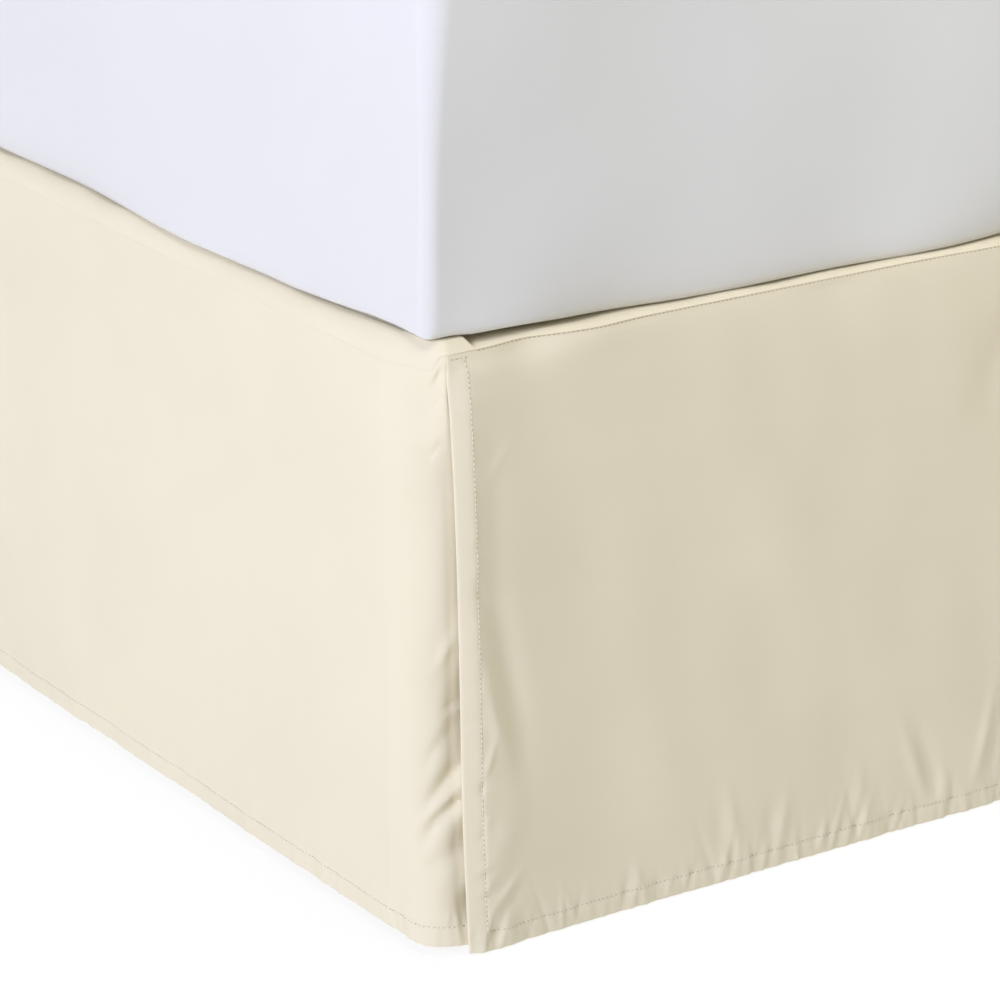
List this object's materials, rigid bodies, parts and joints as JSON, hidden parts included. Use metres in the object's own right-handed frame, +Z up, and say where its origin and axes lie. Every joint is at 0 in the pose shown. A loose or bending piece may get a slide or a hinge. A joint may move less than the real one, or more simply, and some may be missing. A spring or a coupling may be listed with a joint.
{
  "type": "bed skirt on a plain bed (mattress, box foundation and legs)",
  "caption": "Tailored three-sided bed skirt with lapped split foot corners, hanging from its deck between a mattress and a box foundation on legs.",
  "frame": {"origin": "on the floor, under the middle of the object's box", "axes": "+Z up, +Y towards the open head end, -Y towards the foot panel, +X to the right when looking along +Y"},
  "size_m": [1.5317, 2.0494, 0.6864],
  "materials": {
    "skirt_cloth": "matte plain weave",
    "deck_cloth": "matte plain weave",
    "mattress_cover": "matte smooth knit",
    "base_cover": "matte woven",
    "leg_wood": "satin"
  },
  "bodies": {
    "root": {"base": "base_cover", "deck": "deck_cloth", "drop_left": "skirt_cloth", "drop_right": "skirt_cloth", "drop_foot": "skirt_cloth", "mattress": "mattress_cover", "leg_1": "leg_wood", "leg_2": "leg_wood", "leg_3": "leg_wood", "leg_4": "leg_wood", "leg_5": "leg_wood", "leg_6": "leg_wood"}
  },
  "joints": []
}
